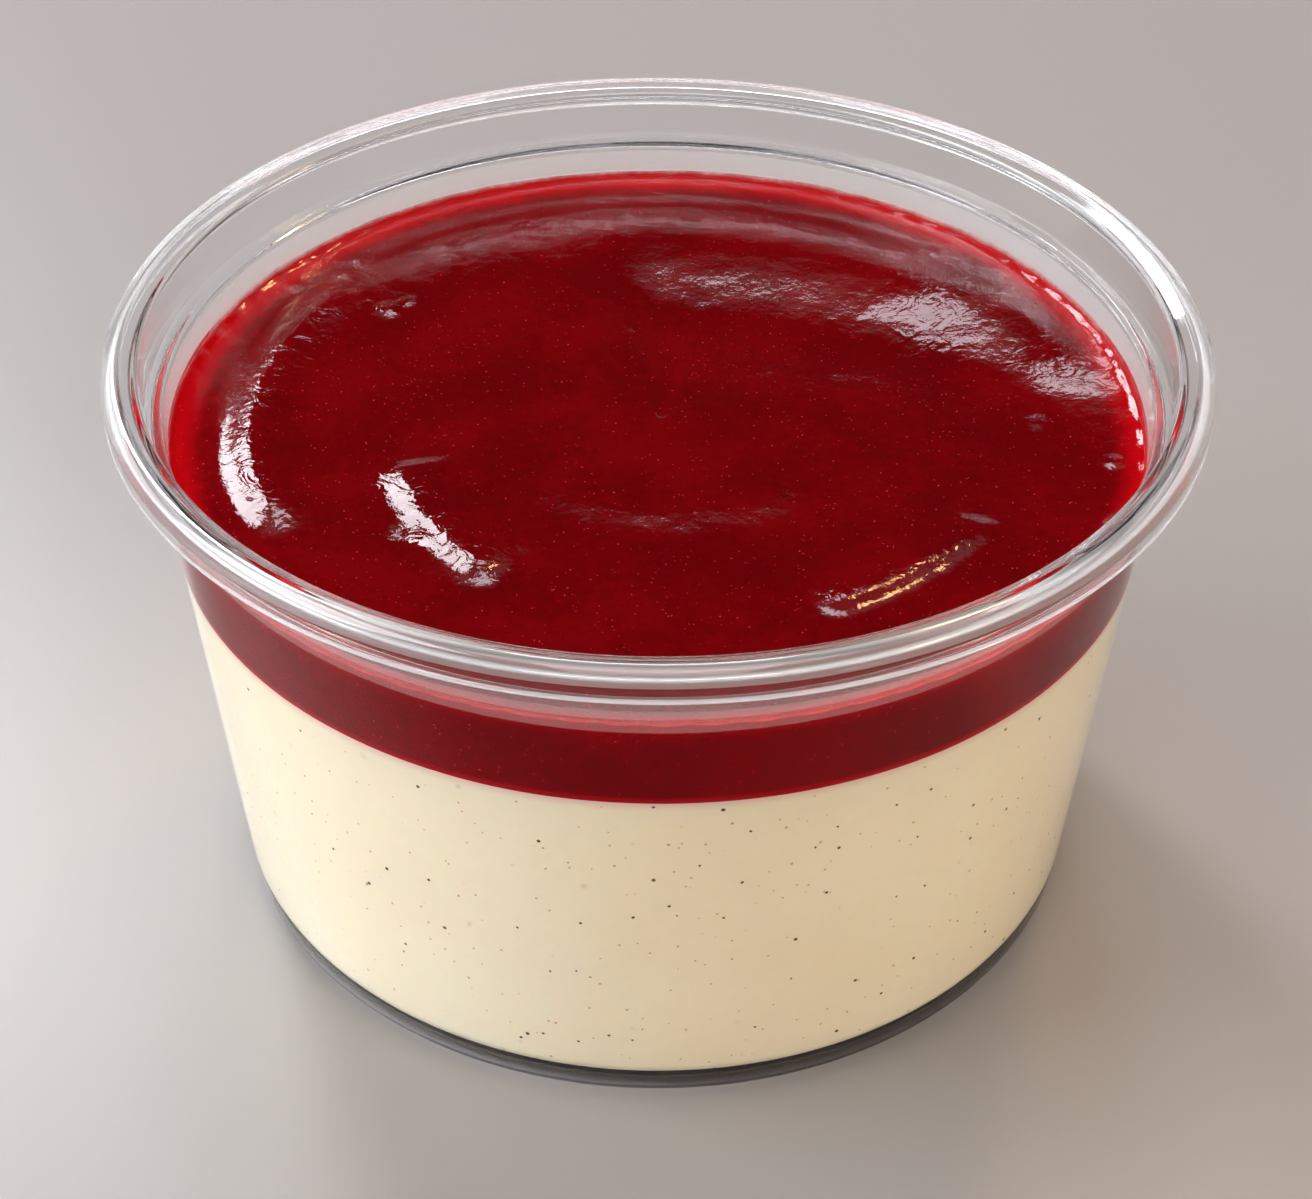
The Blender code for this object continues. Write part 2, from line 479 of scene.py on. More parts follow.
def cup_section():
    """The cup's half section: under the foot, up the outside, over the rim and down the inside."""
    shoulder = LEDGE_HEIGHT - WALL
    flange_under = CUP_HEIGHT - RIM_DIP - WALL
    skirt_in = RIM_RADIUS - SKIRT_WALL
    ring_in = FOOT_RADIUS - FOOT_RING
    return rounded(
        [
            (0, FOOT_RECESS, 0),
            (ring_in - FOOT_RECESS, FOOT_RECESS, 0.4 * MM),
            (ring_in, 0, 0.4 * MM),
            (FOOT_RADIUS, 0, 0.9 * MM),
            (outer_wall(shoulder), shoulder, 0.5 * MM),
            (LEDGE_IN + LEDGE_WIDTH + WALL, shoulder + LEDGE_RISE, 0.6 * MM),
            (RIM_EDGE + WALL, flange_under, 0.3 * MM),
            (skirt_in, flange_under + RIM_DIP, 0.5 * MM),
            (skirt_in, SKIRT_BOTTOM, 0.2 * MM),
            (RIM_RADIUS, SKIRT_BOTTOM, 0.3 * MM),
            (RIM_RADIUS, CUP_HEIGHT, 1.25 * MM),
            (RIM_RADIUS - CROWN_WIDTH, CUP_HEIGHT, 0.3 * MM),
            (RIM_EDGE, CUP_HEIGHT - RIM_DIP, 0.55 * MM),
            (LEDGE_IN + LEDGE_WIDTH, LEDGE_HEIGHT + LEDGE_RISE, 0.35 * MM),
            (LEDGE_IN, LEDGE_HEIGHT, 0.5 * MM),
            (inner_wall(FLOOR), FLOOR, 1.2 * MM),
            (0, FLOOR, 0),
        ]
    )


ROUND_SEGMENTS = 192
cup = turn("clear_cup", with_edge_points(cup_section()), ROUND_SEGMENTS, WALL_PLASTIC)
for plastic in (NECK_PLASTIC, BEAD_PLASTIC_WITH_PAINTED_HIGHLIGHTS, FOOT_PLASTIC_PAINTED_SHADE, DRY_WALL_PLASTIC):
    cup.data.materials.append(plastic)
AS_WALL, AS_NECK, AS_BEAD_OR_PAINTED_HIGHLIGHT, AS_FOOT_PAINTED_SHADE, AS_DRY_WALL = range(5)


def plastic_at(radius, height):
    """Which plastic a face of the cup gets, from where its middle lies."""
    if height > LEDGE_HEIGHT - 1.4 * MM:
        # the milky crown is partly painted highlight; the milky bands at the skirt's lower edge and at the
        # rim's inner edge are painted highlights
        crown = radius > RIM_RADIUS - 1.3 * MM and height > CUP_HEIGHT - 1.35 * MM
        skirt_edge_painted_highlight = radius > RIM_RADIUS - 0.8 * MM and height < SKIRT_BOTTOM + 0.3 * MM
        inner_edge_painted_highlight = abs(radius - RIM_EDGE) < 0.14 * MM and height > CUP_HEIGHT - RIM_DIP - 0.35 * MM
        return AS_BEAD_OR_PAINTED_HIGHLIGHT if crown or skirt_edge_painted_highlight or inner_edge_painted_highlight else AS_NECK
    if height > COULIS_LEVEL + 1.0 * MM:
        return AS_DRY_WALL
    if height < FLOOR - 0.1 * MM:
        # painted highlight: a pale milky line along the bottom of the foot
        lowest_painted_highlight = height < 0.4 * MM and radius > FOOT_RADIUS - 1.0 * MM
        return AS_BEAD_OR_PAINTED_HIGHLIGHT if lowest_painted_highlight else AS_FOOT_PAINTED_SHADE
    return AS_WALL


for face in cup.data.polygons:
    face.material_index = plastic_at(math.hypot(face.center.x, face.center.y), face.center.z)
say(cup, "clear_plastic", "cup")

# %% [markdown]
# ## Vanilla cream
# Set cream is milky: light goes in a little way and comes out again, so its shading is soft and it has no
# hard edge between light and dark. Subsurface scattering gives that. The colour wanders slightly, has tan
# flecks of vanilla deeper in, and takes a little pink from the coulis just under the line between them. It
# is seen through the plastic it touches, so it has no gloss of its own.

# %% Vanilla cream finish
def vanilla_cream():
    material, tree, shader = new_finish("vanilla_cream")
    where = object_place(tree)
    _, height = radius_and_height(tree, where)
    drift = use_group(tree, UNEVENNESS, where, Coarse_Scale=55.0, Fine_Scale=700.0, Fine_Share=0.25)
    deep = use_group(tree, FLECKS, where, Scale=520.0, Size=0.26, Share=0.13)
    faint = use_group(tree, FLECKS, where, Scale=300.0, Size=0.30, Share=0.10)
    drift_share = ramp(tree, drift, 0.3, 0.7, 0.0, 1.0)
    cream = blend_colour(tree, drift_share, (0.93, 0.845, 0.66), (0.90, 0.80, 0.60))
    cream = blend_colour(tree, calculate(tree, "MULTIPLY", deep, 0.35), cream, (0.55, 0.36, 0.16))
    cream = blend_colour(tree, calculate(tree, "MULTIPLY", faint, 0.22), cream, (0.62, 0.42, 0.20))
    under = ramp(tree, height, CREAM_LEVEL - 1.1 * MM, CREAM_LEVEL, 0.0, 0.45)
    cream = blend_colour(tree, under, cream, (0.86, 0.40, 0.36))
    tree.links.new(cream, shader.inputs["Base Color"])
    shader.inputs["Subsurface Weight"].default_value = 0.6
    shader.inputs["Subsurface Radius"].default_value = (1.0, 0.72, 0.45)
    shader.inputs["Subsurface Scale"].default_value = 1.6 * MM
    shader.inputs["Specular IOR Level"].default_value = 0.0
    tree.links.new(ramp(tree, drift, 0.3, 0.7, 0.42, 0.55), shader.inputs["Roughness"])
    bump(tree, drift, 0.1, 0.15 * MM, shader)
    return material


def wander(x, y, seed):
    """A slow, smooth wave round the cup, between -1 and 1, different for each seed."""
    angle = np.arctan2(y, x)
    total = np.zeros_like(angle)
    for k, size in ((2, 0.5), (3, 0.35), (5, 0.25), (9, 0.2), (14, 0.12), (23, 0.08)):
        total += size * np.sin(k * angle + seed * 1.7 * k + k * k)
    return total / 1.5


def coordinates(mesh):
    """The mesh's vertex positions as an array with a row for each."""
    points = np.empty(len(mesh.vertices) * 3, np.float32)
    mesh.vertices.foreach_get("co", points)
    return points.reshape(-1, 3).astype(float)


def put_back(mesh, points):
    """Sets the mesh's vertex positions from such an array."""
    mesh.vertices.foreach_set("co", points.astype(np.float32).ravel())
    mesh.update()


CREAM_TOP_RADIUS = inner_wall(CREAM_LEVEL) + INTO_WALL
cream = turn(
    "cream_layer",
    with_edge_points(
        rounded(
            [
                (0, FLOOR - INTO_WALL, 0),
                (inner_wall(FLOOR) + INTO_WALL, FLOOR - INTO_WALL, 1.2 * MM),
                (CREAM_TOP_RADIUS, CREAM_LEVEL, 0.08 * MM),
                (0, CREAM_LEVEL, 0),
            ]
        )
    ),
    ROUND_SEGMENTS,
    vanilla_cream(),
)
LINE_WAVE = 0.09 * MM  # how far the line between cream and coulis rises and falls
WAVED_DEPTH = 1.5 * MM
cream_points = coordinates(cream.data)
lift = np.clip((cream_points[:, 2] - CREAM_LEVEL + WAVED_DEPTH) / WAVED_DEPTH, 0, 1)
cream_points[:, 2] += lift * LINE_WAVE * wander(cream_points[:, 0], cream_points[:, 1], 1)
put_back(cream.data, cream_points)
say(cream, "vanilla_cream", "panna_cotta")

# %% [markdown]
# ## The coulis and its spoon strokes
# Thick fruit sauce is spread with the back of a spoon and then levels slowly, so its top keeps long, low
# rolls and one wide hollow, and it is drawn up where it wets the cup. A sculpting brush could make them.
# Here each stroke is a line round the cup in angle and radius, with a crest height and two flank widths.
# Drips and touches of the spoon's tip are small round dabs. The top's height is the sum of them all. The
# real strokes are low, so what shows them is how they bend reflections. Where the spoon dragged, the sauce
# is also finely torn: an attribute named drag says where, and the finish turns it into bump.

# %% Spoon strokes
# name: ((angle in degrees, radius in mm), ...), crest height in mm, inner and outer flank width in mm
SPOON_STROKES = {
    "left_roll": (((140, 36.2), (175, 35.2), (212, 35.4)), 0.52, 2.6, 2.0),
    "front_left_roll": (((196, 22.6), (215, 23.6), (232, 25.2), (243, 26.5)), 0.50, 4.5, 2.4),
    "middle_lip": (((215, 14.0), (265, 13.6), (330, 15.3)), 0.19, 5.0, 2.6),
    "front_right_roll": (((294, 30.0), (315, 30.4), (334, 32.0)), 0.42, 3.6, 1.3),
    "back_hollow": (
        ((-45, 48), (0, 36), (12, 32), (28, 26), (45, 21.5), (80, 18), (112, 21)),
        -1.15,
        12.0,
        8.5,
    ),
}
# x, y, height and width in mm
SPOON_DABS = (
    (27.0, 22.0, 0.30, 3.6),
    (25.0, 13.5, -0.10, 2.6),
    (37.3, 10.0, 0.32, 3.4),
    (-27.0, 22.0, 0.12, 3.0),
    (33.4, 1.0, 0.14, 0.9),
    (39.3, -5.2, 0.12, 0.8),
    (-20.8, -18.4, -0.34, 1.4),
    (-23.6, -9.5, -0.10, 1.6),
    (-28.6, 26.0, 0.20, 0.8),
    (-29.6, 23.6, 0.20, 0.7),
    (-30.6, 20.3, 0.22, 0.9),
    (-34.2, 21.3, 0.16, 0.6),
    (-25.2, 17.6, 0.20, 1.1),
    (-23.4, 19.0, 0.14, 0.7),
    (26.2, 28.3, 0.16, 0.6),
    (38.0, -13.8, 0.15, 0.6),
)
FADE = 0.30  # share of a stroke's half length over which it fades out
MENISCUS = 0.40 * MM
MENISCUS_WIDTH = 0.60 * MM
DISH = 0.55  # mm by which the spoon left the rim of the sauce higher than its middle
BEADING = 0.20  # share by which the drawn-up edge swells and sinks along the wall
RIPPLE_STEEPNESS = 0.00037  # a ripple's height for each unit of its length
FULL_DRAG_FROM = 0.4  # mm of crest height above which a stroke counts as fully dragged
LIGHT_DRAG = 0.25


def stroke_height(radius, angle, line, height, inside, outside):
    """One stroke's height at each point, in millimetres."""
    angles = [a for a, _ in line]
    radii = [r for _, r in line]
    middle = (angles[0] + angles[-1]) / 2
    half = (angles[-1] - angles[0]) / 2
    turn_from_middle = (angle - middle + 180) % 360 - 180
    along = np.clip((1 - np.abs(turn_from_middle) / half) / FADE, 0, 1)
    off = radius - np.interp(turn_from_middle + middle, angles, radii)
    width = np.where(off < 0, inside, outside)
    return height * along * along * (3 - 2 * along) * np.exp(-((off / width) ** 2))


def ripples(x, y):
    """Small uneven ripples, in millimetres: a fixed sum of waves of many lengths and directions."""
    waves = np.random.default_rng(5)
    total = np.zeros_like(x)
    for _ in range(60):
        length = waves.uniform(1.2, 4.0)
        heading = waves.uniform(0, 2 * np.pi)
        start = waves.uniform(0, 2 * np.pi)
        across = x * np.cos(heading) + y * np.sin(heading)
        total += RIPPLE_STEEPNESS * length * np.sin(2 * np.pi * across / length + start)
    return total


def coulis_height(x, y):
    """Height of the coulis over its level, in metres."""
    radius = np.hypot(x, y) / MM
    angle = np.degrees(np.arctan2(y, x))
    total = ripples(x / MM, y / MM)
    for line, height, inside, outside in SPOON_STROKES.values():
        total += stroke_height(radius, angle, line, height, inside, outside)
    for middle_x, middle_y, height, width in SPOON_DABS:
        total += height * np.exp(-((x / MM - middle_x) ** 2 + (y / MM - middle_y) ** 2) / width**2)
    edge = inner_wall(COULIS_LEVEL)
    total += DISH * ((radius * MM / edge) ** 2 - 0.75)
    swell = 1 + 0.25 * wander(x, y, 2) + BEADING * np.sin(np.radians(71 * angle) + 5 * wander(x, y, 4))
    climb = MENISCUS * swell * np.exp((np.minimum(radius * MM, edge) - edge) / MENISCUS_WIDTH)
    return total * MM + climb


def drag_share(x, y):
    """How much a spoon roughened each point: 1 on the crest of a roll or a dab, 0 on the smooth sauce."""
    radius = np.hypot(x, y) / MM
    angle = np.degrees(np.arctan2(y, x))
    share = np.zeros_like(radius)
    for line, height, inside, outside in SPOON_STROKES.values():
        rough = stroke_height(radius, angle, line, height, inside, outside) / height
        share = np.maximum(share, rough * (1.0 if height > FULL_DRAG_FROM else LIGHT_DRAG))
    for middle_x, middle_y, _, width in SPOON_DABS:
        away = (x / MM - middle_x) ** 2 + (y / MM - middle_y) ** 2
        share = np.maximum(share, np.exp(-away / (1.5 * width) ** 2))
    return share


# %% [markdown]
# ## Berry coulis
# Sieved red berries make a sauce that is nearly opaque in depth and glows where it is thin: bright red along
# the wall, where light comes in from the side and from the cream below, and almost black-red in the middle.
# That brightness is painted light: it is painted into the red as a brighter colour near the wall and along
# the top and the bottom of the side.
# The open top is wet and glossy and full of fine pulp. The side that wets the plastic has no gloss of its
# own. So one function makes two finishes, for the open top and for the side.

# %% Berry coulis finish
def berry_coulis(name, open_top):
    """The sauce's finish, for its open top or for the side that lies against the cup."""
    material, tree, shader = new_finish(name)
    where = object_place(tree)
    radius, height = radius_and_height(tree, where)
    cloud = use_group(tree, UNEVENNESS, where, Coarse_Scale=110.0, Fine_Scale=900.0, Fine_Share=0.4)
    pulp = use_group(tree, FLECKS, where, Scale=1500.0, Size=0.34, Share=0.3)
    cloud_share = ramp(tree, cloud, 0.35, 0.65, 0.0, 1.0)
    edge = inner_wall(COULIS_LEVEL)
    if open_top:
        red = blend_colour(tree, cloud_share, (0.125, 0.0003, 0.0016), (0.175, 0.0004, 0.002))
        # painted light: the red is painted brighter near the wall, for light that passes through the thin
        # sauce there
        outer = clouded(tree, radius, cloud, 1.5 * MM)
        painted_glow = ramp(tree, outer, edge - 2.3 * MM, edge + 0.5 * MM, 0.0, 1.0)
        red = blend_colour(tree, painted_glow, red, (0.44, 0.001, 0.004))
        red = blend_colour(tree, calculate(tree, "MULTIPLY", pulp, 0.30), red, (0.55, 0.02, 0.05))
    else:
        red = blend_colour(tree, cloud_share, (0.155, 0.0007, 0.003), (0.215, 0.0009, 0.003))
        # painted light: the side's red is painted brighter towards its top, for light coming in through the
        # thin sauce
        upper = clouded(tree, height, cloud, 1.2 * MM)
        painted_glow = ramp(tree, upper, COULIS_LEVEL - 1.6 * MM, COULIS_LEVEL + 2.2 * MM, 0.0, 1.0)
        red = blend_colour(tree, painted_glow, red, (0.27, 0.0006, 0.003))
        # painted light: the red is painted bright just over the cream, for light coming up from the cream
        lit_below = ramp(tree, height, CREAM_LEVEL + 0.1 * MM, CREAM_LEVEL + 0.75 * MM, 0.8, 0.0)
        red = blend_colour(tree, lit_below, red, (0.55, 0.004, 0.012))
        red = blend_colour(tree, calculate(tree, "MULTIPLY", pulp, 0.16), red, (0.5, 0.03, 0.04))
    tree.links.new(red, shader.inputs["Base Color"])
    shader.inputs["Subsurface Weight"].default_value = 0.25
    shader.inputs["Subsurface Radius"].default_value = (1.0, 0.08, 0.06)
    shader.inputs["Subsurface Scale"].default_value = 1.4 * MM
    shader.inputs["IOR"].default_value = 1.42
    shader.inputs["Specular IOR Level"].default_value = 0.35 if open_top else 0.0
    tree.links.new(ramp(tree, cloud, 0.35, 0.65, 0.03, 0.08), shader.inputs["Roughness"])
    if open_top:
        grain = use_group(tree, UNEVENNESS, where, Coarse_Scale=420.0, Fine_Scale=1300.0, Fine_Share=0.4)
        dragged = add_node(tree, "ShaderNodeAttribute", attribute_name="drag").outputs["Fac"]
        torn = add_node(tree, "ShaderNodeTexNoise", in_Scale=520.0, in_Detail=2.5, in_Distortion=1.2)
        tree.links.new(where, torn.inputs["Vector"])
        tears = calculate(tree, "MULTIPLY", torn.outputs[0], dragged)
        rough = calculate(tree, "MULTIPLY", tears, 2.4)
        bump(tree, calculate(tree, "ADD", grain, rough), 1.0, 0.055 * MM, shader)
    return material


OPEN_COULIS = berry_coulis("berry_coulis_open", True)
SIDE_COULIS = berry_coulis("berry_coulis_side", False)
COULIS_RINGS = 112
COULIS_SEGMENTS = 360
SIDE_STEPS = 9
RING_CROWDING = 1.15  # over 1, the rings lie closer together near the wall
COULIS_INTO_WALL = INTO_WALL - 0.02 * MM
coulis_bottom = CREAM_LEVEL - 0.35 * MM
coulis_edge = inner_wall(COULIS_LEVEL) + COULIS_INTO_WALL
coulis_side = [(0, coulis_bottom)]
for k in range(SIDE_STEPS + 1):
    level = coulis_bottom + (COULIS_LEVEL - coulis_bottom) * k / SIDE_STEPS
    coulis_side.append((inner_wall(level) + COULIS_INTO_WALL, level))
coulis_top = [
    (coulis_edge * (1 - (k / COULIS_RINGS) ** RING_CROWDING), COULIS_LEVEL) for k in range(1, COULIS_RINGS + 1)
]
coulis = turn("coulis_layer", coulis_side + coulis_top, COULIS_SEGMENTS, OPEN_COULIS)

# %% Shape the coulis
coulis_points = coordinates(coulis.data)
on_top = coulis_points[:, 2] > COULIS_LEVEL - 0.01 * MM
coulis_points[on_top, 2] += coulis_height(coulis_points[on_top, 0], coulis_points[on_top, 1])
leaning = on_top & (np.hypot(coulis_points[:, 0], coulis_points[:, 1]) > coulis_edge - 0.01 * MM)
outward = 1 + DRAFT * (coulis_points[leaning, 2] - COULIS_LEVEL) / coulis_edge
coulis_points[leaning, 0] *= outward
coulis_points[leaning, 1] *= outward
put_back(coulis.data, coulis_points)
drag = coulis.data.attributes.new("drag", "FLOAT", "POINT")
drag.data.foreach_set("value", drag_share(coulis_points[:, 0], coulis_points[:, 1]).astype(np.float32))
coulis.data.materials.append(SIDE_COULIS)
for face in coulis.data.polygons:
    face.material_index = 0 if face.normal.z > 0.2 else 1
say(coulis, "red_berry_coulis", "coulis")
lowest, highest = float(coulis_points[on_top, 2].min()), float(coulis_points[:, 2].max())
print("coulis top from", round(lowest / MM, 2), "to", round(highest / MM, 2), "mm")

# %% [markdown]
# ## The film left on the wall
# Where the sauce wets the wall it leaves a thin, see-through red film with a ragged upper edge. It is a
# shell less than a tenth of a millimetre thick, bent to the wall, whose top wanders up and down, and it
# fades out upward.

# %% Wall film
FILM_SEGMENTS = 360
FILM_ROWS = 6


def film_mesh():
    """A thin closed band on the inner wall, from inside the coulis up to a wandering top."""
    angles = np.arange(FILM_SEGMENTS) * 2 * np.pi / FILM_SEGMENTS
    wave = wander(np.cos(angles), np.sin(angles), 3)
    fine = wander(np.cos(angles * 3), np.sin(angles * 3), 5)
    low = np.full(FILM_SEGMENTS, COULIS_LEVEL)
    high = COULIS_LEVEL + (1.15 + 0.35 * wave + 0.12 * fine) * MM
    points, faces = [], []
    rows = FILM_ROWS + 1
    for offset in (0.03 * MM, -0.05 * MM):
        for row in range(rows):
            level = low + (high - low) * row / FILM_ROWS
            radius = inner_wall(0) + DRAFT * level + offset
            points += list(zip(radius * np.cos(angles), radius * np.sin(angles), level))
    count = FILM_SEGMENTS
    for row in range(FILM_ROWS):
        for k in range(count):
            a, b = row * count + k, row * count + (k + 1) % count
            faces.append((a, b, b + count, a + count))
            shift = rows * count
            faces.append((a + shift, a + count + shift, b + count + shift, b + shift))
    for k in range(count):
        after = (k + 1) % count
        top, inner = FILM_ROWS * count, rows * count
        faces.append((top + k, top + after, top + inner + after, top + inner + k))
        faces.append((k, inner + k, inner + after, after))
    mesh = bpy.data.meshes.new("coulis_film")
    mesh.from_pydata(points, [], faces)
    mesh.shade_smooth()
    return mesh


def film_finish():
    """A see-through red that fades out towards the film's ragged top."""
    material, tree, shader = new_finish("coulis_film")
    where = object_place(tree)
    _, height = radius_and_height(tree, where)
    cloud = use_group(tree, UNEVENNESS, where, Coarse_Scale=260.0, Fine_Scale=1400.0, Fine_Share=0.5)
    upper = clouded(tree, height, cloud, 0.9 * MM)
    fade = ramp(tree, upper, COULIS_LEVEL + 0.9 * MM, COULIS_LEVEL + 1.75 * MM, 0.85, 0.05)
    cloud_share = ramp(tree, cloud, 0.35, 0.65, 0.0, 1.0)
    red = blend_colour(tree, cloud_share, (0.62, 0.01, 0.02), (0.72, 0.05, 0.06))
    join(tree, (red, shader.inputs["Base Color"]), (fade, shader.inputs["Alpha"]))
    shader.inputs["Roughness"].default_value = 0.12
    shader.inputs["IOR"].default_value = 1.42
    return material


film = bpy.data.objects.new("coulis_film", film_mesh())
bpy.context.scene.collection.objects.link(film)
film.data.materials.append(film_finish())
say(film, "red_berry_coulis")
print("film", len(film.data.polygons), "faces")

# %% [markdown]
# ## Vanilla seeds and fruit pulp
# The dark dots in the cream are vanilla seeds a third of a millimetre across, between them lie finer tan
# flecks of the pod, and the sauce is full of finer bits of pulp. Real ones lie at random, so points are
# scattered over the surface with a fixed seed, and a flattened bead is set on each, turned and sized by
# chance. Most of a bead is sunk in, so only its cap shows.

# %% The scatter tree
def scatter_tree():
    """Beads over the incoming surface, where its faces' middles lie between two heights."""
    tree = bpy.data.node_groups.new("scatter_beads", "GeometryNodeTree")
    given, result = sockets(
        tree,
        [
            ("Surface", "Geometry"),
            ("Per Square Metre", "Float"),
            ("Seed", "Int"),
            ("Smallest", "Float"),
            ("Largest", "Float"),
            ("Flatness", "Float"),
            ("Lowest", "Float"),
            ("Highest", "Float"),
            ("Sink", "Float"),
            ("Rounder", "Int"),
            ("Material", "Material"),
        ],
        [("Beads", "Geometry")],
    )
    place = add_node(tree, "GeometryNodeInputPosition")
    parts = add_node(tree, "ShaderNodeSeparateXYZ")
    over = calculate(tree, "GREATER_THAN", parts.outputs["Z"], given.outputs["Lowest"])
    under = calculate(tree, "LESS_THAN", parts.outputs["Z"], given.outputs["Highest"])
    points = add_node(tree, "GeometryNodeDistributePointsOnFaces")
    bead = add_node(tree, "GeometryNodeMeshIcoSphere", in_Radius=1.0)
    size = add_node(tree, "FunctionNodeRandomValue", data_type="FLOAT")
    flat = add_node(tree, "ShaderNodeCombineXYZ")
    spin = add_node(tree, "FunctionNodeRandomValue", data_type="FLOAT", in_2=0.0, in_3=2 * math.pi)
    turn_by = add_node(tree, "ShaderNodeCombineXYZ")
    rotate = add_node(tree, "FunctionNodeRotateRotation", rotation_space="LOCAL")
    stretch = add_node(tree, "FunctionNodeRandomValue", data_type="FLOAT", in_2=0.7, in_3=1.0)
    instances = add_node(tree, "GeometryNodeInstanceOnPoints")
    sink = add_node(tree, "GeometryNodeTranslateInstances", in_Local_Space=True)
    down = add_node(tree, "ShaderNodeCombineXYZ")
    real = add_node(tree, "GeometryNodeRealizeInstances")
    smooth = add_node(tree, "GeometryNodeSetShadeSmooth")
    paint = add_node(tree, "GeometryNodeSetMaterial")
    long_side = calculate(tree, "MULTIPLY", size.outputs["Value"], stretch.outputs["Value"])
    thin_side = calculate(tree, "MULTIPLY", size.outputs["Value"], given.outputs["Flatness"])
    join(
        tree,
        (place.outputs[0], parts.inputs[0]),
        (given.outputs["Surface"], points.inputs["Mesh"]),
        (calculate(tree, "MULTIPLY", over, under), points.inputs["Selection"]),
        (given.outputs["Per Square Metre"], points.inputs["Density"]),
        (given.outputs["Seed"], points.inputs["Seed"]),
        (given.outputs["Smallest"], size.inputs[2]),
        (given.outputs["Largest"], size.inputs[3]),
        (given.outputs["Rounder"], bead.inputs["Subdivisions"]),
        (size.outputs["Value"], flat.inputs["X"]),
        (long_side, flat.inputs["Y"]),
        (thin_side, flat.inputs["Z"]),
        (spin.outputs["Value"], turn_by.inputs["Z"]),
        (points.outputs["Rotation"], rotate.inputs[0]),
        (turn_by.outputs[0], rotate.inputs[1]),
        (points.outputs["Points"], instances.inputs["Points"]),
        (bead.outputs["Mesh"], instances.inputs["Instance"]),
        (rotate.outputs[0], instances.inputs["Rotation"]),
        (flat.outputs[0], instances.inputs["Scale"]),
        (instances.outputs[0], sink.inputs["Instances"]),
        (given.outputs["Sink"], down.inputs["Z"]),
        (down.outputs[0], sink.inputs["Translation"]),
        (sink.outputs[0], real.inputs["Geometry"]),
        (real.outputs[0], smooth.inputs["Geometry"]),
        (smooth.outputs[0], paint.inputs["Geometry"]),
        (given.outputs["Material"], paint.inputs["Material"]),
        (paint.outputs[0], result.inputs["Beads"]),
    )
    return tree


def speck_finish(name, first, second, roughness):
    """A small thing's own colour, wandering between two tones from bead to bead."""
    material, tree, shader = new_finish(name)
    tone = use_group(
        tree, UNEVENNESS, object_place(tree), Coarse_Scale=900.0, Fine_Scale=5000.0, Fine_Share=0.3
    )
    colour = blend_colour(tree, ramp(tree, tone, 0.38, 0.62, 0.0, 1.0), first, second)
    tree.links.new(colour, shader.inputs["Base Color"])
    shader.inputs["Roughness"].default_value = roughness
    shader.inputs["Specular IOR Level"].default_value = 0.1
    return material


SCATTER = scatter_tree()
MILLIMETRES_SQUARED = 1e6


def scatter(name, surface, slot, material, per_mm2, seed, sizes, flatness, levels, sink, rounder=2):
    """A piece of beads scattered on a surface. Sizes are radii, and all lengths are in millimetres."""
    beads = grow(
        name,
        surface.data.copy(),
        SCATTER,
        {
            "Per Square Metre": per_mm2 * MILLIMETRES_SQUARED,
            "Seed": seed,
            "Smallest": sizes[0] * MM,
            "Largest": sizes[1] * MM,
            "Flatness": flatness,
            "Lowest": levels[0] * MM,
            "Highest": levels[1] * MM,
            "Sink": -sink * MM,
            "Rounder": rounder,
            "Material": material,
        },
    )
    say(beads, slot)
    print(name, len(beads.data.polygons), "faces")
    return beads


# %% Scatter seeds, flecks and pulp
scatter(
    "vanilla_seeds",
    cream,
    "vanilla_cream",
    speck_finish("vanilla_seed", (0.06, 0.05, 0.028), (0.17, 0.14, 0.08), 0.5),
    per_mm2=0.022,
    seed=11,
    sizes=(0.10, 0.18),
    flatness=0.55,
    levels=(0, 35.1),
    sink=0.02,
)
scatter(
    "vanilla_flecks",
    cream,
    "vanilla_cream",
    speck_finish("vanilla_fleck", (0.62, 0.40, 0.18), (0.74, 0.52, 0.28), 0.6),
    per_mm2=0.10,
    seed=4,
    sizes=(0.06, 0.14),
    flatness=0.35,
    levels=(0, 35.7),
    sink=0.03,
)
scatter(
    "fruit_pulp",
    coulis,
    "red_berry_coulis",
    speck_finish("fruit_pulp", (0.42, 0.003, 0.015), (0.62, 0.02, 0.07), 0.25),
    per_mm2=0.42,
    seed=7,
    sizes=(0.035, 0.095),
    flatness=0.5,
    levels=(36.8, 45.0),
    sink=0.01,
    rounder=1,
)

# %% [markdown]
# ## Floor, light and camera
# A plain pale floor, a soft cool window at the left and a weaker warm light at the front right, three small
# bright panels behind for the coulis to mirror, and two overhead panels that only gleam on the rim. The sky
# is pale above and dark in a low band behind the cup, as a dark card in a studio would make it, because a
# wet dark sauce shows whatever stands behind it.

# %% Floor
def plain_floor():
    """A flat square five metres wide at the height of the foot."""
    mesh = bpy.data.meshes.new("floor")
    half = 2.5
    corners = [(-half, -half, 0), (half, -half, 0), (half, half, 0), (-half, half, 0)]
    mesh.from_pydata(corners, [], [(0, 1, 2, 3)])
    floor = bpy.data.objects.new("floor", mesh)
    bpy.context.scene.collection.objects.link(floor)
    material, tree, shader = new_finish("pale_floor")
    shader.inputs["Base Color"].default_value = (0.45, 0.43, 0.425, 1)
    shader.inputs["Roughness"].default_value = 0.3
    shader.inputs["Specular IOR Level"].default_value = 0.25
    mesh.materials.append(material)
    return floor


plain_floor()


# %% Lights
AIM = Vector((0, 0, 0.041))  # the middle of the coulis, near enough


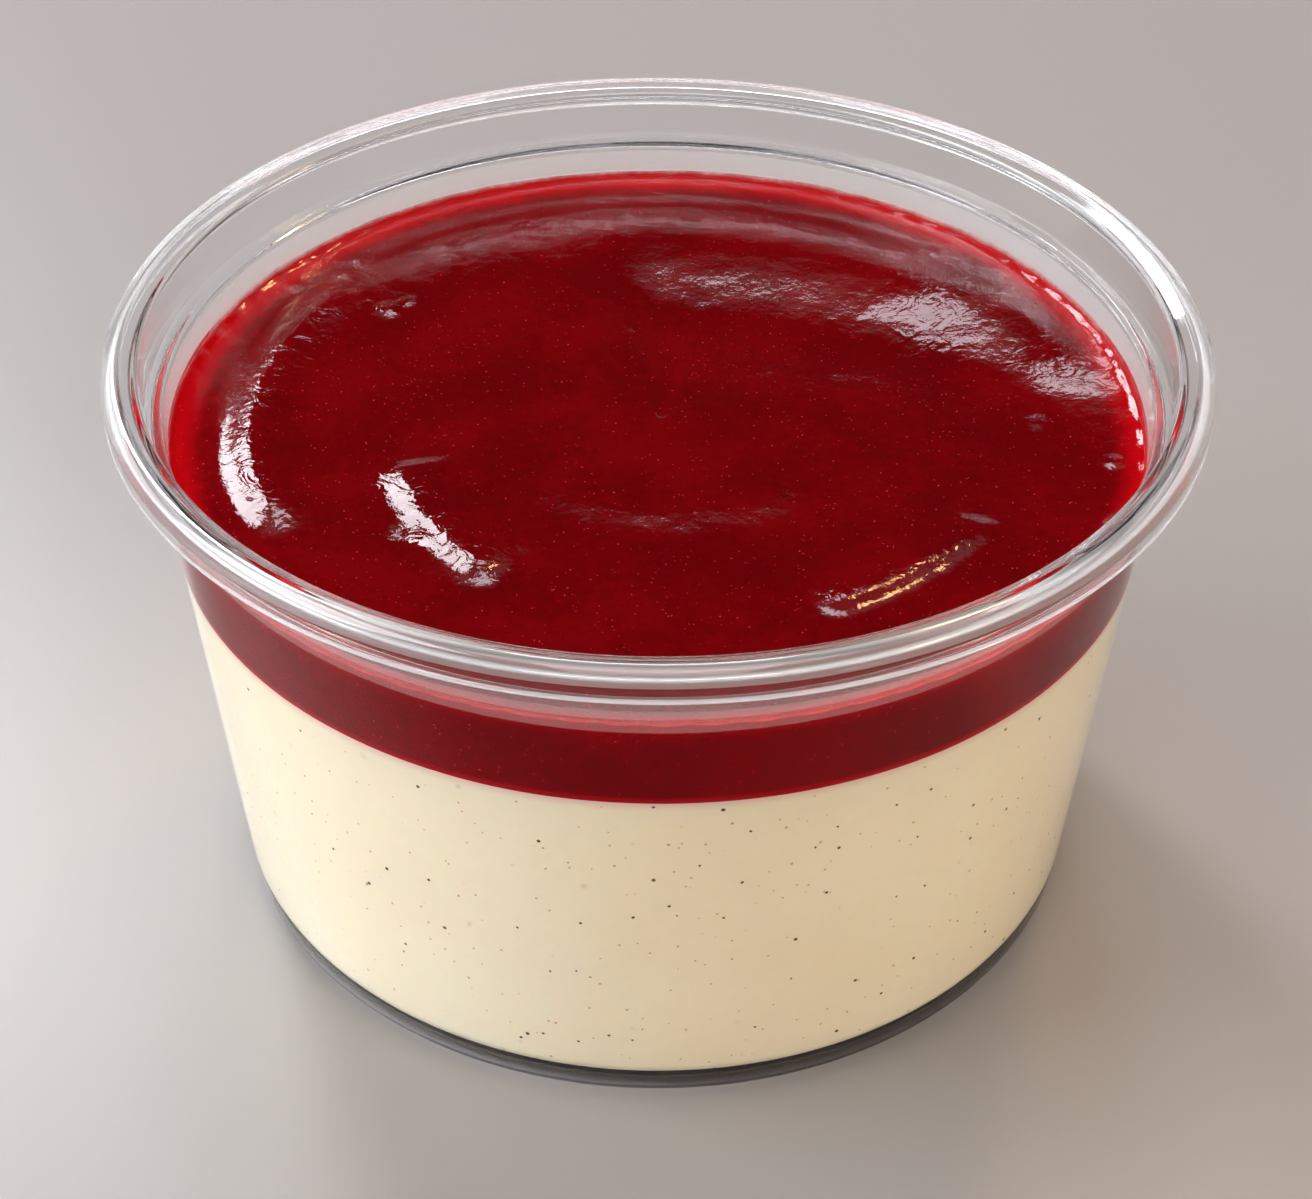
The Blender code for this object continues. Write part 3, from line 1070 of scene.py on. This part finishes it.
def soft_light(name, azimuth, elevation, distance, width, height, power, colour):
    """An area light aimed at the cup. Azimuth 0 is behind the cup, and grows to the right."""
    lamp = bpy.data.lights.new(name, "AREA")
    lamp.shape = "RECTANGLE"
    lamp.size = width
    lamp.size_y = height
    lamp.energy = power
    lamp.color = colour
    light = bpy.data.objects.new(name, lamp)
    bpy.context.scene.collection.objects.link(light)
    a, e = math.radians(azimuth), math.radians(elevation)
    towards = Vector((math.sin(a) * math.cos(e), math.cos(a) * math.cos(e), math.sin(e)))
    facing = towards.to_track_quat("Z", "Y").to_matrix().to_4x4()
    light.matrix_world = Matrix.Translation(AIM + towards * distance) @ facing
    return light


def panel(name, azimuths, elevations, radiance, colour, distance=1.5):
    """A soft light that fills a window of directions, with a given brightness to the eye."""
    azimuth, elevation = sum(azimuths) / 2, sum(elevations) / 2
    half_turn, half_rise = (math.radians(high - low) / 2 for low, high in (azimuths, elevations))
    width = 2 * distance * math.tan(half_turn) * math.cos(math.radians(elevation))
    height = 2 * distance * math.tan(half_rise)
    power = radiance * math.pi * width * height
    return soft_light(name, azimuth, elevation, distance, width, height, power, colour)


panel("window_left_behind", (-31, -19), (30, 50), 21.0, (0.93, 0.96, 1.0))
panel("window_behind", (-9, 8), (47, 56), 12.0, (0.95, 0.91, 1.0))
panel("warm_lamp", (18, 30), (51, 54), 54.0, (1.0, 0.60, 0.27))
panel("left_window", (-115, -70), (15, 50), 4.3, (0.91, 0.95, 1.0))
panel("front_right", (105, 165), (8, 48), 1.55, (1.0, 0.81, 0.60))
left_gleam = panel("left_gleam", (-120, -60), (34, 66), 10.5, (0.90, 0.94, 1.0), distance=1.8)
front_gleam = panel("front_gleam", (150, 210), (45, 85), 3.7, (0.95, 0.94, 1.0))
for gleam in (left_gleam, front_gleam):
    gleam.visible_diffuse = False


# %% Sky
def studio_sky():
    """A graded sky: pale above, a pale wall high behind, a bright horizon and a soft room at the sides."""
    world = bpy.data.worlds.new("studio_sky")
    bpy.context.scene.world = world
    world.use_nodes = True
    tree = world.node_tree
    tree.nodes.clear()
    parts = tree.nodes.new("ShaderNodeSeparateXYZ")
    tree.links.new(tree.nodes.new("ShaderNodeTexCoord").outputs["Generated"], parts.inputs[0])

    def by_elevation(low, high, at_low, at_high):
        """A strength that changes between two elevations, in degrees."""
        sines = [math.sin(math.radians(angle)) for angle in (low, high)]
        return ramp(tree, parts.outputs["Z"], *sines, at_low, at_high)

    wall_behind = by_elevation(40.5, 46, 0.0, 0.65)
    fading = by_elevation(48, 56, 1.0, 0.0)
    behind = ramp(tree, parts.outputs["Y"], 0.35, 0.55, 0.0, 1.0)
    ceiling = by_elevation(46, 62, 0.02, 0.22)
    horizon = by_elevation(4, 10, 0.5, 0.0)
    room = by_elevation(30, 60, 0.28, 0.12)
    card = ramp(tree, parts.outputs["Y"], 0.50, 0.66, 1.0, 0.0)
    pale = calculate(tree, "MULTIPLY", calculate(tree, "MULTIPLY", wall_behind, behind), fading)
    low = calculate(tree, "MAXIMUM", horizon, calculate(tree, "MULTIPLY", room, card))
    strength = calculate(tree, "ADD", calculate(tree, "ADD", pale, ceiling), low)
    shade = add_node(tree, "ShaderNodeBackground", in_Color=(1.0, 0.965, 0.975, 1))
    out = tree.nodes.new("ShaderNodeOutputWorld")
    join(tree, (strength, shade.inputs["Strength"]), (shade.outputs[0], out.inputs["Surface"]))


studio_sky()
scene = bpy.context.scene
scene.view_settings.view_transform = "Standard"


# %% Camera
def place_camera():
    """The camera stands in front of the cup and looks down at it."""
    lens = bpy.data.cameras.new("camera")
    lens.lens = 74.7
    lens.sensor_width = 36
    lens.shift_x = -0.0007
    lens.shift_y = 0.0062
    lens.clip_start = 0.01
    camera = bpy.data.objects.new("camera", lens)
    scene.collection.objects.link(camera)
    down = Matrix.Rotation(math.radians(90 - 37.71), 4, "X")
    roll = Matrix.Rotation(math.radians(0.36), 4, "Z")
    camera.matrix_world = Matrix.Translation((0, -0.1997, 0.1771)) @ down @ roll
    scene.camera = camera


place_camera()
